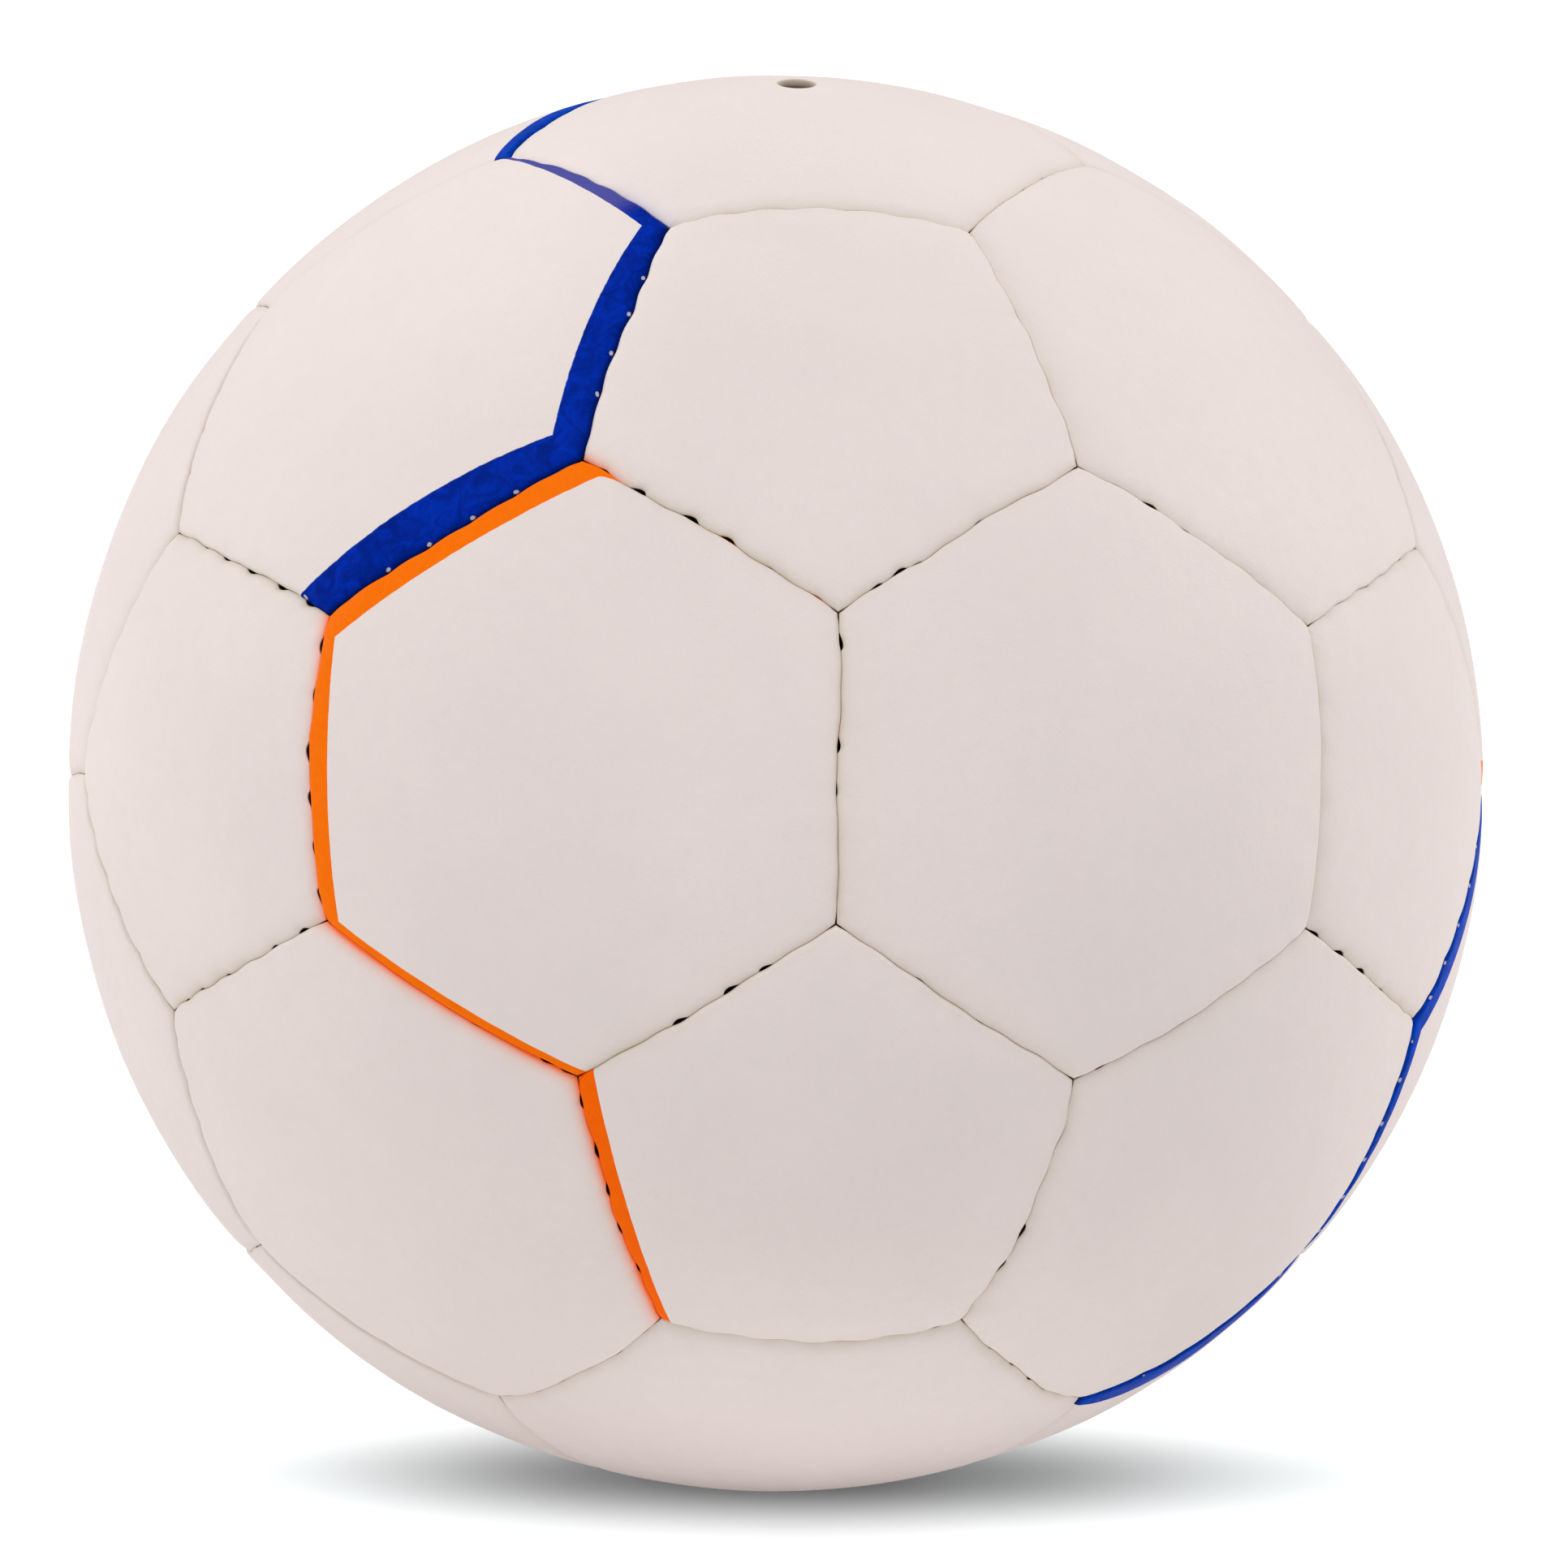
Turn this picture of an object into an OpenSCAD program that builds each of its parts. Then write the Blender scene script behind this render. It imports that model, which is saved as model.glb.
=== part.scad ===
// A hand-stitched match handball of 32 panels: 12 pentagons and 20 hexagons round an air bladder.
// The origin is the middle of the ball, and +Z points out through the valve.
// Each panel is a cover whose edges turn in along the seams, with a foam layer and a lining inside.

/* [Ball] */
// Circumference over the crowns of the panels, of a size 3 ball
ball_circumference = 590; // [520:5:640]
// Width of the gap between two stitched panels
seam_gap = 0.3; // [0.2:0.05:0.5]
// Radius of the rounded shoulder along a seam
shoulder_r = 1.6; // [1:0.1:2.4]

/* [Panel layers] */
// Thickness of the cover
cover_t = 1.2; // [0.8:0.1:1.6]
// Thickness of the foam under the cover
foam_t = 2.4; // [1.6:0.1:3.2]
// Thickness of the woven lining under the foam
lining_t = 2.2; // [1.6:0.1:3]
// How far the turned edges of a cover reach below the lining
edge_drop = 0.3; // [0.2:0.1:0.8]
// Gap left for the glue between two layers
layer_gap = 0.1; // [0.05:0.05:0.2]

/* [Stitching] */
// Stitches along each seam
stitches = 6; // [4:1:7]
// How far the stitches lie below the rolled shoulder of a cover
stitch_drop = 1.4; // [1:0.1:2]
// Width of the waxed sewing thread, which lies square along a seam
thread_w = 0.8; // [0.6:0.05:1]
// Gap between the thread and what it passes
thread_gap = 0.1; // [0.05:0.05:0.15]

/* [Bladder] */
// Thickness of the bladder wall
bladder_t = 0.9; // [0.6:0.1:1.5]
// Gap between the turned edges and the bladder
bladder_gap = 0.2; // [0.1:0.05:0.4]

/* [Valve] */
// Distance of the valve from the middle of its panel, along the surface
valve_offset = 9; // [6:0.5:14]
// Diameter of the hole in the cover over the valve
valve_hole_d = 4.4; // [3.6:0.1:5]
// Diameter of the valve stem
stem_d = 9; // [8:0.5:11]
// Gap between the stem and the panel layers
stem_gap = 0.3; // [0.2:0.1:0.5]
// Diameter of the valve's round base inside the bladder
base_d = 28; // [20:1:34]
// Thickness of that base
base_t = 1.6; // [1.2:0.1:2.4]
// Length of the valve tail below its base
tail_l = 8; // [6:0.5:12]
// Diameter of the valve core
core_d = 5; // [4.6:0.1:5.4]
// Diameter of the collar that keeps the core in the stem
collar_d = 6.6; // [6.2:0.1:7]
// Height of that collar
collar_h = 2; // [1.5:0.1:3]
// Gap round the valve core
core_gap = 0.08; // [0.05:0.01:0.12]
// How far the core sits below the top of the stem
core_recess = 0.4; // [0.2:0.1:0.8]
// Diameter of the hole for a pump needle
needle_bore_d = 2.2; // [2:0.1:2.6]
// Height of the slit that closes below the needle hole
slit_h = 3; // [2:0.5:4]
// Width of that slit
slit_w = 0.2; // [0.1:0.05:0.3]

/* [Hidden] */
golden = (1 + sqrt(5)) / 2;
ball_r = ball_circumference / (2 * PI);

// Depths below the surface of the ball
cover_depth = cover_t;
foam_top = cover_depth + layer_gap;
foam_depth = foam_top + foam_t;
lining_top = foam_depth + layer_gap;
lining_depth = lining_top + lining_t;
turned_depth = lining_depth + edge_drop;
bladder_depth = turned_depth + bladder_gap;
stitch_depth = max(shoulder_r, cover_depth) + stitch_drop;

// Distances from the middle of a seam into a panel: the foam and the lining leave a channel for the thread
turned_face = seam_gap / 2;
turned_back = turned_face + cover_t;
thread_line = turned_back + thread_gap + thread_w / 2;
padding_edge = thread_line + thread_w / 2 + thread_gap;

// The thread is drawn thinner where it passes through a hole
crossing_share = 0.85;
crossing_d = thread_w * crossing_share;
stitch_hole_d = crossing_d + 2 * thread_gap;

// How far a shoulder cuts past the line where it would only touch
bite_share = 0.03;
shoulder_bite = shoulder_r * bite_share;
// Overrun of every cut
cut = ball_r / 20;

// Heights of the valve over the middle of the ball
bladder_r = ball_r - bladder_depth;
base_top = bladder_r - bladder_t - layer_gap;
stem_top = sqrt(pow(ball_r - cover_depth, 2) - pow(stem_d / 2, 2)) - layer_gap;
stem_bottom = base_top - base_t - tail_l;
core_top = stem_top - core_recess;
collar_bottom = (stem_bottom + core_top - collar_h) / 2;
lead_in_h = (core_d - needle_bore_d) / 5;
slit_l = needle_bore_d * 0.9;

// Angles of the 32 panels, seen from the middle of the ball
pentagon_edge_angle = asin(1 / (tan(36) * 3 * golden));
hexagon_edge_angle = asin(sqrt(3) / (3 * golden));
seam_angle = 2 * acos(3 * golden / sqrt(9 * golden + 10));
cap_share = 1.3;

// The valve panel leans forward, so that its valve points straight up
hexagon_lean = atan(1 / pow(golden, 2));
valve_lean = hexagon_lean - valve_offset / ball_r * 180 / PI;

// Middles of the 12 pentagons: the first three stand round the valve panel
pentagon_middles = concat(
    [[1, 0, golden], [-1, 0, golden], [0, -golden, 1]],
    [[0, golden, 1], [0, -golden, -1], [0, golden, -1]],
    [for (x = [-golden, golden]) for (y = [-1, 1]) [x, y, 0]],
    [[1, 0, -golden], [-1, 0, -golden]]
);
pentagon_count = len(pentagon_middles);

function near(a, b) = norm(pentagon_middles[a] - pentagon_middles[b]) < 1 + golden;

// Corner pentagons of each hexagon, and end pentagons of each seam between two hexagons
hexagon_corners = [
    for (a = [0 : pentagon_count - 3])
        for (b = [a + 1 : pentagon_count - 2])
            if (near(a, b))
                for (c = [b + 1 : pentagon_count - 1])
                    if (near(a, c) && near(b, c)) [a, b, c]
];
hexagon_count = len(hexagon_corners);
hexagon_seams = [
    for (a = [0 : pentagon_count - 2])
        for (b = [a + 1 : pentagon_count - 1])
            if (near(a, b)) [a, b]
];
pentagon_neighbours = [
    for (a = [0 : pentagon_count - 1])
        [for (b = [0 : pentagon_count - 1]) if (b != a && near(a, b)) b]
];

PENTAGON_NODES = [for (i = [1 : pentagon_count]) str("pentagon_panel_", i)];
HEXAGON_NODES = [for (i = [1 : hexagon_count - 1]) str("hexagon_panel_", i)];

COVER_COLOUR = [0.9, 0.86, 0.83];
FOAM_COLOUR = [0.95, 0.93, 0.86];
LINING_COLOUR = [0.86, 0.84, 0.78];
THREAD_COLOUR = [0.2, 0.13, 0.1];
BLADDER_COLOUR = [0.13, 0.13, 0.14];
VALVE_COLOUR = [0.2, 0.19, 0.19];
CORE_COLOUR = [0.55, 0.5, 0.46];

$fn = 96;

function unit(v) = v / norm(v);

// Turns its children so that +Z points along middle and +X leans towards side
module aim(middle, side) {
    z = unit(middle);
    x = unit(side - (side * z) * z);
    y = cross(z, x);
    multmatrix([
        [x[0], y[0], z[0], 0],
        [x[1], y[1], z[1], 0],
        [x[2], y[2], z[2], 0],
        [0, 0, 0, 1]
    ])
        children();
}

// The whole ball leans so that the valve is on top
module upright() {
    rotate([-valve_lean, 0, 0])
        children();
}

module at_pentagon(i) {
    upright()
        aim(pentagon_middles[i], pentagon_middles[pentagon_neighbours[i][0]])
            rotate([0, 0, 36])
                children();
}

module at_hexagon(i) {
    corners = [for (c = hexagon_corners[i]) pentagon_middles[c]];
    upright()
        aim(corners[0] + corners[1] + corners[2], corners[2])
            children();
}

// Puts its children at each seam of a panel: +X across the seam and outward, +Z out of the ball
module at_edges(sides, edge_angle) {
    for (k = [0 : sides - 1])
        rotate([0, edge_angle, 360 * k / sides])
            children();
}

// Everything beyond a flat face that stands at a distance from the middle of a seam
module beyond(distance) {
    translate([-distance, -ball_r / 2, ball_r / 2])
        cube([ball_r, ball_r, ball_r]);
}

// Everything beyond the seam face of a cover, with the rounded shoulder above it
module beyond_shoulder() {
    inset = shoulder_r - shoulder_bite;
    height = turned_face + inset;
    shoulder_centre = sqrt(pow(ball_r - inset, 2) - pow(height, 2));
    reach = 2 * seam_angle;
    rotate([0, 90, 0])
        rotate([0, 0, 180 - reach / 2])
            rotate_extrude(angle = reach)
                difference() {
                    union() {
                        translate([ball_r / 2, -turned_face])
                            square([ball_r / 2 + cut, ball_r / 2]);
                        translate([shoulder_centre, -height])
                            square([ball_r + cut - shoulder_centre, height]);
                    }
                    translate([shoulder_centre, -height])
                        circle(r = shoulder_r);
                }
}

// A round cap of the ball between two depths, wide enough for any panel
module cap(top, bottom, edge_angle) {
    cap_r = ball_r * sin(edge_angle * cap_share);
    difference() {
        intersection() {
            sphere(r = ball_r - top);
            cylinder(r = cap_r, h = ball_r + cut);
        }
        sphere(r = ball_r - bottom);
    }
}

// One layer of a panel, with flat edges along the seams
module layer(sides, edge_angle, top, bottom, inset) {
    difference() {
        cap(top, bottom, edge_angle);
        at_edges(sides, edge_angle)
            beyond(inset);
    }
}

// Holes through a turned edge, or the thread in them
module crossings(diameter, half_length) {
    for (k = [0 : stitches - 1])
        rotate([((k + 0.5) / stitches - 0.5) * seam_angle, 0, 0])
            translate([-half_length, 0, ball_r - stitch_depth])
                rotate([0, 90, 0])
                    cylinder(d = diameter, h = 2 * half_length, $fn = 24);
}

// Cuts the sides off its children one after another, and rounds the shoulder along each
module trimmed(sides, edge_angle, side = 0) {
    if (side == sides)
        children();
    else
        trimmed(sides, edge_angle, side + 1)
            difference() {
                children();
                rotate([0, edge_angle, 360 * side / sides])
                    beyond_shoulder();
            }
}

// A cover: a domed skin with its edges turned in along the seams
module cover(sides, edge_angle) {
    difference() {
        trimmed(sides, edge_angle)
            cap(0, turned_depth, edge_angle);
        layer(sides, edge_angle, cover_depth, turned_depth + cut, turned_back);
        at_edges(sides, edge_angle)
            crossings(stitch_hole_d, turned_back + cut);
    }
}

module foam(sides, edge_angle) {
    layer(sides, edge_angle, foam_top, foam_depth, padding_edge);
}

module lining(sides, edge_angle) {
    layer(sides, edge_angle, lining_top, lining_depth, padding_edge);
}

// A row of stitches along one seam: a run laid along each side, joined through every pair of holes
module seam_thread() {
    hole_angle = seam_angle * (stitches - 1) / stitches;
    run_angle = hole_angle + thread_w / (ball_r - stitch_depth) * 180 / PI;
    crossings(crossing_d, thread_line);
    rotate([0, 90, 0])
        rotate([0, 0, 180 - run_angle / 2])
            for (side = [-1, 1])
                rotate_extrude(angle = run_angle)
                    translate([ball_r - stitch_depth, side * thread_line])
                        square(thread_w, center = true);
}

// Round space for the valve stem, from the middle of the ball outward
module stem_space(gap) {
    cylinder(d = stem_d + 2 * gap, h = ball_r + cut);
}

module pentagon_panel(i) {
    color(COVER_COLOUR)
        at_pentagon(i)
            cover(5, pentagon_edge_angle);
}

module hexagon_panel(i) {
    color(COVER_COLOUR)
        at_hexagon(i)
            cover(6, hexagon_edge_angle);
}

// The hexagon on top, with the hole over the valve
module valve_panel() {
    color(COVER_COLOUR)
        difference() {
            at_hexagon(0)
                cover(6, hexagon_edge_angle);
            cylinder(d = valve_hole_d, h = ball_r + cut);
        }
}

module pentagon_foams() {
    color(FOAM_COLOUR)
        for (i = [0 : pentagon_count - 1])
            at_pentagon(i)
                foam(5, pentagon_edge_angle);
}

module hexagon_foams() {
    color(FOAM_COLOUR) {
        difference() {
            at_hexagon(0)
                foam(6, hexagon_edge_angle);
            stem_space(stem_gap);
        }
        for (i = [1 : hexagon_count - 1])
            at_hexagon(i)
                foam(6, hexagon_edge_angle);
    }
}

module pentagon_linings() {
    color(LINING_COLOUR)
        for (i = [0 : pentagon_count - 1])
            at_pentagon(i)
                lining(5, pentagon_edge_angle);
}

module hexagon_linings() {
    color(LINING_COLOUR) {
        difference() {
            at_hexagon(0)
                lining(6, hexagon_edge_angle);
            stem_space(stem_gap);
        }
        for (i = [1 : hexagon_count - 1])
            at_hexagon(i)
                lining(6, hexagon_edge_angle);
    }
}

module pentagon_seam_threads() {
    color(THREAD_COLOUR)
        for (i = [0 : pentagon_count - 1])
            at_pentagon(i)
                at_edges(5, pentagon_edge_angle)
                    seam_thread();
}

module hexagon_seam_threads() {
    color(THREAD_COLOUR)
        for (ends = hexagon_seams) {
            first = pentagon_middles[ends[0]];
            last = pentagon_middles[ends[1]];
            upright()
                aim(first + last, cross(first, last))
                    seam_thread();
        }
}

module bladder() {
    color(BLADDER_COLOUR)
        difference() {
            sphere(r = bladder_r);
            sphere(r = bladder_r - bladder_t);
            stem_space(layer_gap);
        }
}

// A rubber stem on a round base that is bonded to the inside of the bladder
module valve_stem() {
    color(VALVE_COLOUR)
        difference() {
            union() {
                intersection() {
                    difference() {
                        sphere(r = base_top);
                        sphere(r = base_top - base_t);
                    }
                    cylinder(d = base_d, h = ball_r);
                }
                translate([0, 0, stem_bottom])
                    cylinder(d = stem_d, h = stem_top - stem_bottom);
            }
            translate([0, 0, stem_bottom - cut])
                cylinder(d = core_d + 2 * core_gap, h = stem_top - stem_bottom + 2 * cut);
            translate([0, 0, collar_bottom - core_gap])
                cylinder(d = collar_d + 2 * core_gap, h = collar_h + 2 * core_gap);
        }
}

// A soft plug with a needle hole that ends in a slit
module valve_core() {
    color(CORE_COLOUR)
        difference() {
            union() {
                translate([0, 0, stem_bottom])
                    cylinder(d = core_d, h = core_top - stem_bottom);
                translate([0, 0, collar_bottom])
                    cylinder(d = collar_d, h = collar_h);
            }
            translate([0, 0, stem_bottom + slit_h])
                cylinder(d = needle_bore_d, h = core_top - stem_bottom);
            translate([0, 0, core_top - lead_in_h])
                cylinder(d1 = needle_bore_d, d2 = needle_bore_d + 2 * lead_in_h, h = lead_in_h);
            translate([-slit_l / 2, -slit_w / 2, stem_bottom - cut])
                cube([slit_l, slit_w, 2 * slit_h + cut]);
        }
}

for (i = [0 : pentagon_count - 1])
    pentagon_panel(i);
for (i = [1 : hexagon_count - 1])
    hexagon_panel(i);
valve_panel();
pentagon_foams();
hexagon_foams();
pentagon_linings();
hexagon_linings();
pentagon_seam_threads();
hexagon_seam_threads();
bladder();
valve_stem();
valve_core();
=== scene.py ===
"""A hand-stitched handball: the looks of its 32 cover panels, its inner layers, and a plain studio."""

import math
from types import SimpleNamespace

import bpy
import numpy as np
from mathutils import Matrix, Vector


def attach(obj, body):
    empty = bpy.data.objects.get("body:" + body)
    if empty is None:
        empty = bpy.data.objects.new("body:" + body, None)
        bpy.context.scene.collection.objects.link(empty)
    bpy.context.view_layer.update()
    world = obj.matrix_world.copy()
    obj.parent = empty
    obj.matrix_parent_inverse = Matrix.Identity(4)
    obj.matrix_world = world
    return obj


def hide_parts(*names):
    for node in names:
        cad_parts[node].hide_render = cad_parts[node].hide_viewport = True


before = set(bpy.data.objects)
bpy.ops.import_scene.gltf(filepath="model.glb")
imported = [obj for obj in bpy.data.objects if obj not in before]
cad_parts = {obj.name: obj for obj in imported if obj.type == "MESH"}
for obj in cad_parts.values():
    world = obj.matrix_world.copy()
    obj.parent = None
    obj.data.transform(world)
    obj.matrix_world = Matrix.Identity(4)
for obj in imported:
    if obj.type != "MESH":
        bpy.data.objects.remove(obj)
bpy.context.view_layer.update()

# Lengths are in metres, and MM writes them in millimetres
MM = 0.001
SEED = 590

# The photograph's camera, fitted to its seams and outline; its distance is in radii of the ball
CAMERA_AZIMUTH = math.radians(-4.781)
CAMERA_ELEVATION = math.radians(14.175)
CAMERA_ROLL = math.radians(1.704)
CAMERA_DISTANCE_SHARE = 10.006
CAMERA_LENS_MM = 161.94
SENSOR_MM = 36
CAMERA_SHIFT = (0.0052, -0.0003)
CAMERA_SIGHT = 50

# The ball, as the solids have it
GOLDEN = (1 + math.sqrt(5)) / 2
VALVE_OFFSET = 9 * MM
COVER_T = 1.2 * MM
TURNED_DEPTH = 6.3 * MM
STITCHES = 6
NEIGHBOUR_COS = math.cos(math.radians(45))  # the middles of neighbouring panels are nearer than that

# The seams as the photograph shows them, nearly closed between soft rolled edges: along each seam one
# panel lies proud with a tight roll, and the other dips under it with a soft one
SEAM_HALF_GAP = 0.02 * MM
EDGE_DROP = 0.36 * MM  # how far below the surface the rolled edges meet
ROLL_START = 0.45  # the angle of the roll there, in radians
PROUD_WIDTH = 0.6 * MM
DIPPING_WIDTH = 1.0 * MM
SOFT_WIDTH = 1.8 * MM  # how much wider the softest dipping roll is
CORNER_POWER = 8  # how late towards a corner the rolls of its two sides become alike
FLAT_INSET = 4.4 * MM  # where the flat of a panel starts

# How covers rise beside the seams where they lie proud, sink towards all their seams, and undulate
PROUD_RISE = 0.1 * MM
PROUD_RISE_START = 0.6 * MM
PROUD_RISE_REACH = 3 * MM
PUFF_DROP = 0.2 * MM
PUFF_REACH = 5 * MM
WAVES = 10
WAVE_HEIGHT = 0.05 * MM / 3
WAVE_START = 3 * MM
FOLLOW_DEPTH = 3.0 * MM  # down to where the turned edge follows all this, less and less

# What the stitches do: slits that stand open, dimples, scallops of the seam line between them and
# its slow strays, and pits at the corners
OPENING = 0.42 * MM
OPENING_HALF_LENGTH = 1.2 * MM
OPENING_LEAN = 0.45  # how much wider a slit is towards its one end
PROUD_OPENING = 0.15  # the share of an opening that the proud panel gives
OPENING_REACH = 1.0 * MM
DIMPLE_DROP = 0.12 * MM
BULGE = 0.24 * MM
EVEN_BULGE = 0.4  # the share of a bulge between two hexagons
WOBBLE = 0.2 * MM
TRUE_END = 2.5 * MM  # where a seam's line comes back to its corner
LINE_REACH = 4.5 * MM  # how far in the points of a panel follow its seam's line
PIT_INSET = 0.1 * MM
PIT_HALF_LENGTH = 1.1 * MM
PIT_DROP = 0.25 * MM
SINK_HALF_LENGTH = 1.5 * MM
SINK_REACH = 1.9 * MM

# Chips in the ink beside the slits, and tan soil and painted shade along the seams. The gains make the
# painted shade of a slit and its chip full before its width is.
SLIT_GAIN = 1.6
CHIP_GAIN = 4
CHIP_OFFSET = 0.5 * MM
CHIP_HALF_LENGTH = 0.45 * MM
CHIP_INSET = 0.35 * MM
CHIP_HALF_WIDTH = 0.3 * MM
SOIL_AND_SHADE = 0.5
SOIL_AND_SHADE_REACH = 0.4 * MM
SOFT_SHADE_AND_SOIL = 0.34
SOFT_SHADE_AND_SOIL_REACH = 1.3 * MM
DIPPING_SHADE = 1.3
PROUD_SHADE = 0.4
SHADE_REACH = 0.35 * MM

# The mesh of a cover is made of loops. Those at its seams have DENSE points along a side, and the
# gather of a loop is how much closer together its points stand at slits.
DENSE = 108
GATHER = 2.0
GATHER_REACH = 1.2 * MM

# The inside of a cover, up to the end of its turned edge: inset, depth and points along a side
INSIDE_PLAN = (
    (18 * MM, COVER_T, 6),
    (8 * MM, COVER_T, 6),
    (SEAM_HALF_GAP + COVER_T, COVER_T, 18),
    (SEAM_HALF_GAP + COVER_T, TURNED_DEPTH - 0.6 * MM, 18),
    (SEAM_HALF_GAP + COVER_T / 2, TURNED_DEPTH, 18),
)

# The outside of the turned edge: depth, points along a side and gather
TURNED_PLAN = (
    (TURNED_DEPTH - 0.4 * MM, 36, 0.0),
    (3.2 * MM, 36, 0.0),
    (1.7 * MM, DENSE, GATHER),
    (EDGE_DROP + 0.5 * MM, DENSE, GATHER),
    (EDGE_DROP + 0.12 * MM, DENSE, GATHER),
)

# The levels of the rolled edge, and of the band inside it with their gather
ROLL_LEVELS = (0, 0.08, 0.18, 0.3, 0.43, 0.57, 0.72, 0.86, 1.0)
BAND_LEVELS = ((1.25, 1.5), (1.5, 1.0), (1.75, 0.5), (2.0, 0.0))

# The face: the share of the way to its middle, or to the ring round the valve, and points along a side
MIDDLE_PLAN = (
    (0.03, 36), (0.07, 36), (0.13, 18), (0.2, 18), (0.29, 18),
    (0.4, 9), (0.54, 9), (0.7, 9), (0.86, 3),
)
VALVE_PLAN = (
    (0.04, 36), (0.1, 36), (0.18, 36), (0.28, 18), (0.4, 18),
    (0.54, 18), (0.68, 18), (0.82, 18), (0.92, 18), (1.0, 18),
)

# The valve hole and its lip, which stands up behind the hole and sinks in front of it
HOLE_R = 2.2 * MM
HOLE_LIP = 0.5 * MM
LIP_STEPS = 6
RIM_R = HOLE_R + HOLE_LIP
RING_R = 1.6 * RIM_R
HOLE_TILT = 0.23 * MM
HOLE_TILT_REACH = 2.4 * MM

# How far and how strongly the orange shows on the white beyond its seam, partly as dye and partly as painted
# reflection
ORANGE_DYE_AND_REFLECTION_REACH = 0.6 * MM
ORANGE_DYE_AND_REFLECTION_STRENGTH = 1.2

# How dark the blue gets at its seams, and how much the leather and the blue shine
SHADE_GAIN = 1.35
DARKEST_SHADE = 0.85
LEATHER_SHINE = 0.03
BLUE_SHINE = 0.012

# Textures: their features per metre, and the depth of the leather's grain and creases
SPECKS = 55
BROAD = 45
PATCHES = 130
CREASES = 260
MOTTLE = 420
INK_EDGE = 900
GRAIN = 2600
LEATHER_BUMP = 0.25 * MM

# The studio: an even dome, the white floor's own light as a painted glow, and lamps by azimuth and
# elevation in degrees, each with its strength and its size in metres. In the picture the floor is dimmed
# and cooled, and its painted light gets brighter from the inner to the outer radius of the painted shadow,
# both in radii of the ball.
DOME = 0.25
FLOOR_GLOW = 0.13
FLOOR_HALF_SIZE = 6.0
FLOOR_WHITE = (0.9, 0.9, 0.9)
# the floor dimmed and cooled in the picture, under its painted light
FLOOR_SEEN = (0.34, 0.385, 0.4)
SHADOW_PLACE = (0.06, -0.10)
SHADOW_INNER, SHADOW_INNER_GLOW = 0.15, 0.06
SHADOW_OUTER, SHADOW_OUTER_GLOW = 1.11, 0.94
SHADOW_SQUASH = 3.6
LAMP_DISTANCE = 2.0
LAMPS = (
    ("left", -115, 10, 0.225, 0.6),
    ("right", 115, 20, 0.305, 0.6),
    ("back", -150, 40, 0.168, 0.8),
    ("upper_right", 55, 55, 0.311, 1.0),
    ("front", -20, 65, 0.148, 1.0),
    ("upper_left", -60, 50, 0.294, 1.0),
)

# Colours, linear
CREAM = (0.83, 0.741, 0.712)
# tan soil along the seams, darkened as painted shade
SEAM_TAN_AND_SHADE = (0.515, 0.43, 0.27)
# painted shade in the gap between panels, tan like the soil
GAP_TAN_AND_SHADE = (0.48, 0.38, 0.22)
# painted shade in the open slits
SLIT_SHADE = (0.04, 0.028, 0.019)
SPECK_BROWN = (0.12, 0.09, 0.07)
CHIP_GREY = (0.55, 0.52, 0.52)
HOLE_TAUPE = (0.5, 0.42, 0.34)
# painted shade deep in the valve hole
HOLE_SHADE = (0.12, 0.09, 0.07)
BLUE = (0.0, 0.021, 0.33)
# the blue of the borders seen at a grazing angle, paler as painted sheen
BLUE_PAINTED_SHEEN = (0.0, 0.047, 0.45)
# the blue border facing the light at the valve panel, paler as painted sheen
BLUE_TOP_SHEEN = (0.085, 0.085, 0.34)
BLUE_SMEAR = (0.22, 0.24, 0.62)
ORANGE = (1.0, 0.17, 0.0)
ORANGE_REDDER = (1.0, 0.135, 0.0)
# orange on the white beside an orange border: dye and painted reflection
ORANGE_DYE_AND_REFLECTION = (1.0, 0.20, 0.05)

# Finishes of the inner pieces: their nodes, colour, roughness, the features per metre and the
# contrast of their unevenness, and how deep it goes
INNER_FINISHES = {
    "foam": (("pentagon_foams", "hexagon_foams"), (0.85, 0.80, 0.68), 0.85, 1500, 0.1, 0.2 * MM),
    "lining": (("pentagon_linings", "hexagon_linings"), (0.68, 0.63, 0.5), 0.9, 1100, 0.3, 0.2 * MM),
    "thread": (
        ("pentagon_seam_threads", "hexagon_seam_threads"), (0.045, 0.026, 0.018), 0.55, 3000, 0.5, 0.1 * MM,
    ),
    "bladder": (("bladder",), (0.02, 0.02, 0.022), 0.45, 300, 0.3, 0.1 * MM),
    "stem": (("valve_stem",), (0.30, 0.25, 0.20), 0.6, 900, 0.2, 0.1 * MM),
    "core": (("valve_core",), (0.32, 0.265, 0.21), 0.6, 900, 0.25, 0.1 * MM),
}

# What the material of a cover reads at each point, and how far the point follows the cover's relief
MATERIAL_VALUES = ("slit", "chip", "soil_and_shade", "shade", "deep_mm")
VALUES = (*MATERIAL_VALUES, "follow")


def unit(vector):
    vector = np.asarray(vector, float)
    return vector / np.linalg.norm(vector)


def unit_rows(points):
    return points / np.linalg.norm(points, axis=1)[:, None]


def bell(x, reach):
    """1 at 0, falling off on both sides"""
    return np.exp(-((x / reach) ** 2))


def cover_nodes():
    return [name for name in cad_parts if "panel" in name]


def node_points(name):
    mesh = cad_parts[name].data
    points = np.empty(len(mesh.vertices) * 3, np.float32)
    mesh.vertices.foreach_get("co", points)
    return points.reshape(-1, 3)


BALL_R = float(max(np.linalg.norm(node_points(name), axis=1).max() for name in cover_nodes()))
HALF_LENGTH = BALL_R * math.asin(2 / math.sqrt(58 + 18 * math.sqrt(5)))  # of a side, on the ball
VALVE_LEAN = math.atan(1 / GOLDEN**2) - VALVE_OFFSET / BALL_R


def upright(point):
    """The ball leans so that its valve points straight up"""
    x, y, z = point
    c, s = math.cos(-VALVE_LEAN), math.sin(-VALVE_LEAN)
    return unit((x, c * y - s * z, s * y + c * z))


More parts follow.
